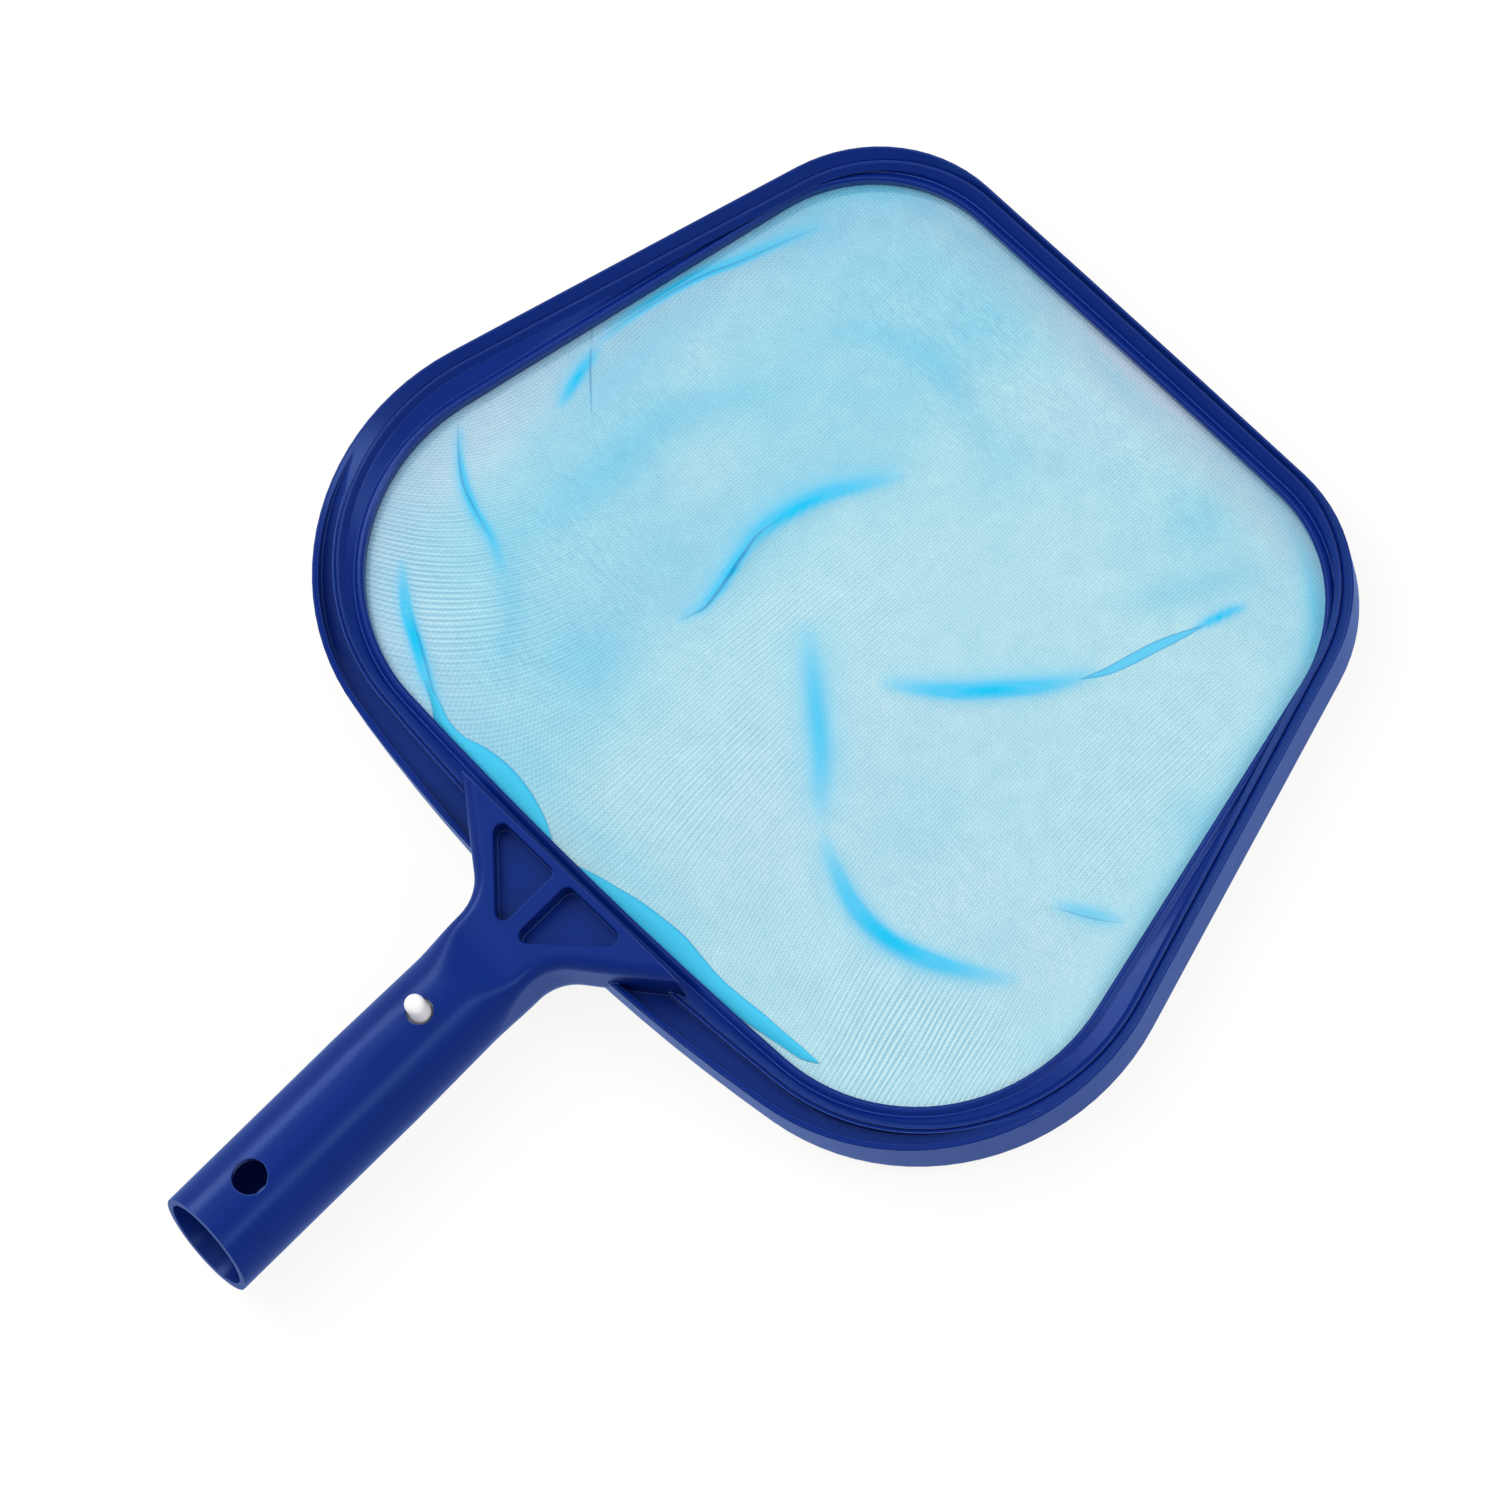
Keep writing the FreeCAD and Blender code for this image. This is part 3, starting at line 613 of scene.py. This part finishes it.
def crisp_mask(tree, name, soft, inset=0.0):
    """How far inside a crisp line's half width, less an inset, a point is, as a mask with a soft rim."""
    distance = math_node(tree, "ABSOLUTE", attribute(tree, name + "_off"))
    inside = math_node(tree, "SUBTRACT", attribute(tree, name + "_half"), distance)
    inside = math_node(tree, "SUBTRACT", inside, inset)
    return plus(tree, math_node(tree, "DIVIDE", inside, soft), 0.5, clamp=True)


def grain_group():
    """Moulded grain: fine speckle over slow waves, with faint drawn streaks for scuffs."""
    group, given, put = new_group("Moulded Grain", [
        ("Place", "NodeSocketVector", None), ("Fine", "NodeSocketFloat", 2600.0)],
        [("Height", "NodeSocketFloat"), ("Scuff", "NodeSocketFloat"), ("Cloud", "NodeSocketFloat")])
    place = given.outputs["Place"]
    fine = noise(group, place, Detail=2.0)
    group.links.new(given.outputs["Fine"], fine.node.inputs["Scale"])
    slow = noise(group, place, Scale=55.0, Detail=2.0)
    cloud = noise(group, place, Scale=24.0, Detail=3.0, Distortion=0.8)
    stretch = add_node(group, "ShaderNodeMapping", Scale=(30.0, 420.0, 420.0))
    group.links.new(place, stretch.inputs["Vector"])
    streak = noise(group, stretch.outputs[0], 0.58, Scale=1.0, Detail=3.0)
    group.links.new(plus(group, times(group, fine, 0.12), slow), put.inputs["Height"])
    group.links.new(times(group, streak, 6.0, clamp=True), put.inputs["Scuff"])
    group.links.new(cloud, put.inputs["Cloud"])
    return group


def plastic_material(name, colour, clouded, rim, roughness, edge, bump, sheen):
    """Glossy moulded plastic: slightly clouded colour, scuffs that dull the gloss, and softened edges with a
    painted highlight in a paler colour.

    An edge is where the normal that is rounded over it turns away from the face's own."""
    material, tree, shader = new_material(name)
    place = add_node(tree, "ShaderNodeTexCoord")
    group = add_node(tree, "ShaderNodeGroup", node_tree=shared("Moulded Grain", grain_group))
    tree.links.new(place.outputs["Object"], group.inputs["Place"])
    rough = math_node(tree, "MULTIPLY_ADD", group.outputs["Scuff"], 0.07)
    rough.node.inputs[2].default_value = roughness
    tree.links.new(rough, shader.inputs["Roughness"])
    round_edge = add_node(tree, "ShaderNodeBevel", samples=8, Radius=edge)
    turned = add_node(tree, "ShaderNodeVectorMath", operation="DOT_PRODUCT")
    tree.links.new(round_edge.outputs[0], turned.inputs[0])
    tree.links.new(add_node(tree, "ShaderNodeNewGeometry").outputs["Normal"], turned.inputs[1])
    # Painted highlight: where the rounded normal turns away from the face's own, the colour is mixed toward
    # the paler rim.
    edge_highlight = times(tree, math_node(tree, "SUBTRACT", 1.0, turned.outputs["Value"]), 2.2, clamp=True)
    plain = mix_colour(tree, group.outputs["Cloud"], colour, clouded)
    tree.links.new(mix_colour(tree, edge_highlight, plain, rim), shader.inputs["Base Color"])
    relief = add_node(tree, "ShaderNodeBump", Strength=bump, Distance=0.0003)
    tree.links.new(group.outputs["Height"], relief.inputs["Height"])
    tree.links.new(round_edge.outputs[0], relief.inputs["Normal"])
    tree.links.new(relief.outputs[0], shader.inputs["Normal"])
    shader.inputs["Specular IOR Level"].default_value = 0.45
    shader.inputs["Specular Tint"].default_value = (*sheen, 1.0)
    return material


def cloth_weave(tree, look):
    """The weave's node group in a material, laid on the cloth's own UV map."""
    uv = add_node(tree, "ShaderNodeUVMap", uv_map="cloth")
    group = add_node(tree, "ShaderNodeGroup", node_tree=shared("Net Weave", weave_group))
    group.inputs["Pitch"].default_value = look.pitch
    tree.links.new(uv.outputs[0], group.inputs["Cloth"])
    return group


def net_material(name, look):
    """Woven net: pale and greyer by turns, the grey partly painted light, bluer where it lies steep, deep at
    folds and dark at creases, with painted shade toward the far ring and in the gaps of the weave.
    """
    material, tree, shader = new_material(name)
    group = cloth_weave(tree, look)
    for label in ("Shown", "Crinkle"):
        tree.links.new(attribute(tree, label.lower()), group.inputs[label])
    grey, steep, fold, shade = (attribute(tree, key) for key in ("grey", "steep", "fold", "shade"))
    deep = tuple(look.deep)
    colour = mix_colour(tree, times(tree, grey, 0.85), tuple(look.pale), tuple(look.grey))
    colour = mix_colour(tree, steep, colour, tuple(look.blue))
    # Painted shade toward the far edge of the ring.
    colour = mix_colour(tree, times(tree, shade, 0.55), colour, scaled(look.grey, 0.75))
    # Painted shade in the gaps of the weave, which leaves the threads lighter as a painted highlight.
    gaps = mix_colour(tree, group.outputs["Thread"], WEAVE_SHADE, (1.0, 1.0, 1.0))
    colour = multiply_colour(tree, colour, gaps)
    colour = mix_colour(tree, times(tree, fold, 1.25, clamp=True), colour, deep)
    band = crisp_mask(tree, "band", 0.3)
    colour = mix_colour(tree, times(tree, band, 0.9), colour, deep)
    rim = math_node(tree, "SUBTRACT", band, crisp_mask(tree, "band", 0.3, 0.35))
    crease = math_node(tree, "MAXIMUM", crisp_mask(tree, "crease", 0.45), times(tree, rim, 0.7))
    colour = mix_colour(tree, times(tree, crease, 0.8), colour, tuple(look.crease))
    tree.links.new(colour, shader.inputs["Base Color"])
    cover = math_node(tree, "MULTIPLY_ADD", group.outputs["Thread"], 0.06)
    cover.node.inputs[2].default_value = 0.88
    tree.links.new(math_node(tree, "MAXIMUM", cover, fold), shader.inputs["Alpha"])
    relief = add_node(tree, "ShaderNodeBump", Strength=0.4, Distance=0.0001)
    tree.links.new(group.outputs["Height"], relief.inputs["Height"])
    tree.links.new(relief.outputs[0], shader.inputs["Normal"])
    shader.inputs["Roughness"].default_value = 0.7
    shader.inputs["Specular IOR Level"].default_value = 0.1
    return material


def surplus_material(name, look):
    """The net's cut edge, lying double: deep and even, paler toward the inner side, dark at the cut."""
    material, tree, shader = new_material(name)
    group = cloth_weave(tree, look)
    group.inputs["Shown"].default_value = 0.1
    across = attribute(tree, "across")
    lighter = tuple(0.75 * a + 0.25 * b for a, b in zip(look.deep, look.blue))
    colour = mix_colour(tree, times(tree, across, 1.3, clamp=True), scaled(look.deep, 0.7), lighter)
    # The threads show lighter here too: a faint painted highlight on the weave.
    colour = mix_colour(tree, times(tree, group.outputs["Thread"], 0.3), colour, tuple(look.blue))
    rim = times(tree, math_node(tree, "SUBTRACT", across, 0.93), 11.0, clamp=True)
    colour = mix_colour(tree, times(tree, rim, 0.8), colour, tuple(look.crease))
    tree.links.new(colour, shader.inputs["Base Color"])
    shader.inputs["Roughness"].default_value = 0.6
    shader.inputs["Specular IOR Level"].default_value = 0.2
    return material


def floor_material(name, colour):
    """Pale floor: mostly an even glow for the camera, matt for other rays, and a blue glow seen only in the
    gloss of plastic, a painted reflection.
    """
    material, tree, shader = new_material(name)
    shader.inputs["Base Color"].default_value = (*colour, 1.0)
    shader.inputs["Roughness"].default_value = 0.9
    shader.inputs["Specular IOR Level"].default_value = 0.0
    glow = add_node(tree, "ShaderNodeEmission", Color=(*colour, 1.0), Strength=FLOOR_GLOW)
    # Painted reflection: a blue glow that only glossy rays see.
    shine = add_node(tree, "ShaderNodeEmission", Color=(*FLOOR_SHINE, 1.0), Strength=SHINE_STRENGTH)
    seen = add_node(tree, "ShaderNodeLightPath")
    direct = math_node(tree, "MAXIMUM", seen.outputs["Is Camera Ray"], seen.outputs["Is Transmission Ray"])
    out = next(n for n in tree.nodes if n.type == "OUTPUT_MATERIAL")
    direct = times(tree, direct, GLOW_SHARE)
    result = shader.outputs[0]
    for share, other in ((direct, glow), (seen.outputs["Is Glossy Ray"], shine)):
        blend = add_node(tree, "ShaderNodeMixShader")
        tree.links.new(share, blend.inputs[0])
        tree.links.new(result, blend.inputs[1])
        tree.links.new(other.outputs[0], blend.inputs[2])
        result = blend.outputs[0]
    tree.links.new(result, out.inputs["Surface"])
    return material


def shared(name, build):
    """A node group that is built once and then used again."""
    return bpy.data.node_groups.get(name) or build()


def dress(node, material):
    """Puts a material on every slot of a CAD node."""
    if not node.data.materials:
        node.data.materials.append(material)
    for i in range(len(node.data.materials)):
        node.data.materials[i] = material


def look_along(place, back_way):
    """Matrix of a lamp at a place, whose local Z points along back_way."""
    z = np.array(back_way, float)
    x = np.cross((0.0, 0.0, 1.0), z)
    x /= np.linalg.norm(x)
    return pose_matrix(x, np.cross(z, x), z, place)


def pose_matrix(x, y, z, place):
    """Matrix with the given axes as its columns and the given place."""
    return Matrix([[x[i], y[i], z[i], place[i]] for i in range(3)] + [[0, 0, 0, 1]])


def net_tones(x, y, room):
    """Layers of the net's look: folds, how steep and how grey it lies, and where threads and crinkles show.

    Steepness is the sum of patches, slow unevenness, two soft steps across the net, the rises, and a strip
    beside the ring at the far corners and the far part of the right side. Grey is painted: at the left corner
    it is the net seen against the light, and at the far edge it is painted shade beside the ring; slow
    unevenness adds grey at random all over. Shade is painted shade toward the far edge of the ring."""
    fold = np.zeros_like(x)
    for one in FOLDS:
        fold = np.maximum(fold, fold_field(x, y, one)[0])
    steep = patch_field(x, y, PATCHES) + 0.08 * wander(x, y, 17.0, 2.0) + 0.06 * wander(x, y, 6.0, 5.0)
    steep = steep + 0.4 * soft_step(y, 26, 4.0) + 0.14 * soft_step(x, 291, 4.0)
    for one in RISES:
        steep = steep + rise_field(x, y, one) * (1 - 0.5 * np.clip(steep, 0, 1))
    inside = np.maximum(room, 0)
    corner = bell(y, -74, 26) * ramp(x, 285, 20)
    top = 0.8 * bell(y, 60, 20) * ramp(x, 295, 15)
    along = 0.5 * ramp(-y, 70, 20) * ramp(x, 180, 40)
    steep = steep + 1.5 * bell(inside, 0, 4.6) * np.maximum(np.maximum(corner, top), along)
    left = bell(inside, 0, 17.0) * ramp(y, 35, 40)
    far = bell(inside, 0, 5.0) * bell(y, -5, 36) * (x > 290)
    grey = left + far + 0.35 * np.clip(wander(x, y, 24.0, 3.3), 0, 1)
    return dict(fold=np.clip(fold, 0, 1) * np.clip(room / 2.0 + 1, 0, 1),
                steep=np.clip(steep, 0, 1),
                grey=np.clip(grey, 0, 1),
                shown=np.clip(0.04 + patch_field(x, y, THREADS), 0, 1.2),
                crinkle=np.clip(0.15 + patch_field(x, y, CRINKLES), 0, 1),
                shade=ramp(x, 316, 12))


def surplus_strip(name, inner, outer, look):
    """One strip of the net's cut edge: it lies on the net and runs under the ring at its outer side."""
    a = smooth_line(inner, 240)
    b = smooth_line(outer, 240)
    t = np.linspace(0, 1, 16)[:, None]
    plan = b[:, None] + (a - b)[:, None] * t
    x, y = plan[..., 0], plan[..., 1]
    room = edge_room(x, y)
    z = net_height(x, y, room, look) + STRIP_LIFT * ramp(room, -0.5, 1.5) + STRIP_GAP
    strip = put_mesh(name, np.stack([x, y, z], axis=-1) * MM)
    put_uv(strip, cloth_uv(x, y))
    put_layer(strip, "across", np.repeat(t.T, len(a), axis=0))
    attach(strip, "head")
    return strip


class SKIMMER_OT_net_cloth(bpy.types.Operator):
    """Lays the slack net into the hoop, with its folds and its cut edge"""
    bl_idname = "skimmer.net_cloth"
    bl_label = "Net"

    def execute(self, context):
        look = context.scene.skimmer_net
        x, y, half = net_grid(grow=look.tuck / MM)
        room = edge_room(x, y)
        piece = put_mesh("net_cloth", np.stack([x, y, net_height(x, y, room, look)], axis=-1) * MM)
        put_uv(piece, cloth_uv(x, y))
        for name, values in net_tones(x, y, room).items():
            put_layer(piece, name, values)
        for name, lines in (("band", BANDS), ("crease", CREASES)):
            off, wide = crisp_field(x, y, lines)
            put_layer(piece, name + "_off", off)
            put_layer(piece, name + "_half", wide)
        piece.data.materials.append(net_material("net weave", look))
        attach(piece, "head")
        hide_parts("net_mesh")
        doubled = surplus_material("net cut edge", look)
        strips = []
        for side, (inner, outer) in zip(("left", "right"), SURPLUS):
            strips.append(surplus_strip("net_cut_edge_" + side, inner, outer, look))
            strips[-1].data.materials.append(doubled)
        return {"FINISHED"}


class SKIMMER_OT_moulding(bpy.types.Operator):
    """Gives the frame and the snap ring their blue plastic"""
    bl_idname = "skimmer.moulding"
    bl_label = "Blue mouldings"

    def execute(self, context):
        look = context.scene.skimmer_plastic
        blue = plastic_material("blue plastic", tuple(look.blue), scaled(look.blue, 0.8), tuple(look.rim),
                                roughness=0.3, edge=look.edge, bump=0.08, sheen=look.sheen)
        for node in ("frame_moulding", "snap_ring"):
            dress(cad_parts[node], blue)
        return {"FINISHED"}


class SKIMMER_OT_clip(bpy.types.Operator):
    """Gives the clip and its buttons their white plastic"""
    bl_idname = "skimmer.clip"
    bl_label = "Clip and buttons"

    def execute(self, context):
        look = context.scene.skimmer_plastic
        plain = tuple(look.white)
        white = plastic_material("white plastic", plain, scaled(plain, 0.93), plain, roughness=0.4,
                                 edge=look.edge * 0.6, bump=0.2, sheen=(1.0, 1.0, 1.0))
        for node in ("clip_spring", "upper_button", "lower_button"):
            dress(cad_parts[node], white)
        return {"FINISHED"}


class SKIMMER_OT_stage(bpy.types.Operator):
    """Adds the floor, the lamps and the camera"""
    bl_idname = "skimmer.stage"
    bl_label = "Stage"

    def execute(self, context):
        look = context.scene.skimmer_stage
        scene = context.scene
        span = np.linspace(-FLOOR_HALF, FLOOR_HALF, 3)
        gx, gy = np.meshgrid(span, span, indexing="ij")
        floor = put_mesh("floor", np.stack([gx, gy, np.full_like(gx, CAD_BOX[0][2] - FLOOR_GAP)], axis=-1))
        floor.data.materials.append(floor_material("floor", tuple(look.floor)))
        scene.view_settings.view_transform = "Standard"
        world = bpy.data.worlds.new("studio")
        world.use_nodes = True
        back = next(n for n in world.node_tree.nodes if n.type == "BACKGROUND")
        back.inputs["Color"].default_value = (*WORLD_COLOUR, 1.0)
        back.inputs["Strength"].default_value = WORLD_STRENGTH
        scene.world = world
        for name, spot, aim, size, power, mirrored in LAMPS:
            lamp = bpy.data.lights.new(name, "AREA")
            lamp.size = size
            lamp.energy = power
            thing = bpy.data.objects.new(name, lamp)
            way = np.array(spot) - np.array(aim)
            thing.matrix_world = look_along(spot, way / np.linalg.norm(way))
            thing.visible_glossy = mirrored
            scene.collection.objects.link(thing)
        camera = bpy.data.cameras.new("camera")
        camera.lens = look.lens
        camera.sensor_width = SENSOR_WIDTH
        camera.clip_start = 0.1
        camera.clip_end = 20.0
        eye = bpy.data.objects.new("camera", camera)
        eye.matrix_world = pose_matrix(EYE_RIGHT, EYE_UP, EYE_BACK, EYE_PLACE)
        scene.collection.objects.link(eye)
        scene.camera = eye
        return {"FINISHED"}


class SKIMMER_PT_panel(bpy.types.Panel):
    """Lists the steps that dress the skimmer"""
    bl_idname = "SKIMMER_PT_panel"
    bl_label = "Leaf skimmer net"
    bl_space_type = "VIEW_3D"
    bl_region_type = "UI"
    bl_category = "Skimmer"

    def draw(self, context):
        for step in STEPS:
            self.layout.operator(step.bl_idname)


STEPS = (SKIMMER_OT_moulding, SKIMMER_OT_clip, SKIMMER_OT_net_cloth, SKIMMER_OT_stage)
GROUPS = (("skimmer_net", SkimmerNet), ("skimmer_plastic", SkimmerPlastic),
          ("skimmer_stage", SkimmerStage))


def register():
    """Registers the settings, the steps and the panel."""
    for name, group in GROUPS:
        bpy.utils.register_class(group)
        setattr(bpy.types.Scene, name, bpy.props.PointerProperty(type=group))
    for step in STEPS:
        bpy.utils.register_class(step)
    bpy.utils.register_class(SKIMMER_PT_panel)


def unregister():
    """Takes them away again, in reverse order."""
    bpy.utils.unregister_class(SKIMMER_PT_panel)
    for step in reversed(STEPS):
        bpy.utils.unregister_class(step)
    for name, group in reversed(GROUPS):
        delattr(bpy.types.Scene, name)
        bpy.utils.unregister_class(group)


def main():
    """Registers the add-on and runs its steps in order."""
    register()
    bpy.ops.skimmer.moulding()
    bpy.ops.skimmer.clip()
    bpy.ops.skimmer.net_cloth()
    bpy.ops.skimmer.stage()


if __name__ == "__main__":
    main()
